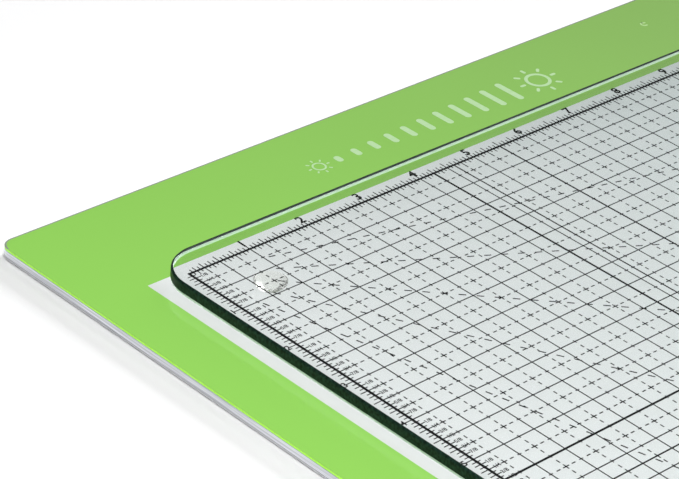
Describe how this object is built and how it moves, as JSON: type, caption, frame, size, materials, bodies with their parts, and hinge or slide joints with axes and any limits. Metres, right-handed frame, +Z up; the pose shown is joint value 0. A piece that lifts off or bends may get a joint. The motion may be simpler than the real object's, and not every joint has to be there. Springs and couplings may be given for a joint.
{
  "type": "light board with glass cutting mat",
  "caption": "Slim edge-lit light board with a lime green bezel and a loose toughened glass cutting mat that carries a black inch grid.",
  "frame": {"origin": "centre of the board's footprint, on the plane that its pads rest on", "axes": "+X along the mat's top ruler, +Y towards the deep bezel with the touch switch, +Z up"},
  "size_m": [0.353, 0.303, 0.0127],
  "materials": {
    "cover": "clear acrylic, printed lime green from behind",
    "tape": "matte",
    "film": "matte",
    "clear_film": "clear",
    "clear_acrylic": "clear, polished edges",
    "back": "fine grain",
    "pads": "matte",
    "white_board": "white solder mask",
    "lamps": "phosphor under clear resin",
    "green_board": "green solder mask",
    "chips": "matte",
    "coil": "ferrite",
    "capacitors": "matte",
    "sensor": "woven conductive skin",
    "ribbon": "polyimide film",
    "socket_shell": "plated",
    "glass": "polished, ground edges",
    "bumpers": "clear, glossy"
  },
  "bodies": {
    "board": {"cover_sheet": "cover", "cover_tape": "tape", "diffuser_film": "film", "prism_film": "clear_film", "light_guide": "clear_acrylic", "reflector_film": "film", "side_frame": "clear_acrylic", "back_tape": "tape", "back_sheet": "back", "non_slip_pads": "pads", "lamp_strip": "white_board", "lamps": "lamps", "control_board": "green_board", "driver_chip": "chips", "touch_chip": "chips", "power_coil": "coil", "capacitors": "capacitors", "touch_sensor": "sensor", "lamp_ribbon": "ribbon", "power_socket": "socket_shell", "socket_insert": "chips"},
    "mat": {"glass_mat": "glass", "mat_bumpers": "bumpers"}
  },
  "joints": [
    {"name": "mat_lift", "type": "slide", "parent": "board", "child": "mat", "axis": [0, 0, 1], "range_m": [0, 0.06]}
  ]
}
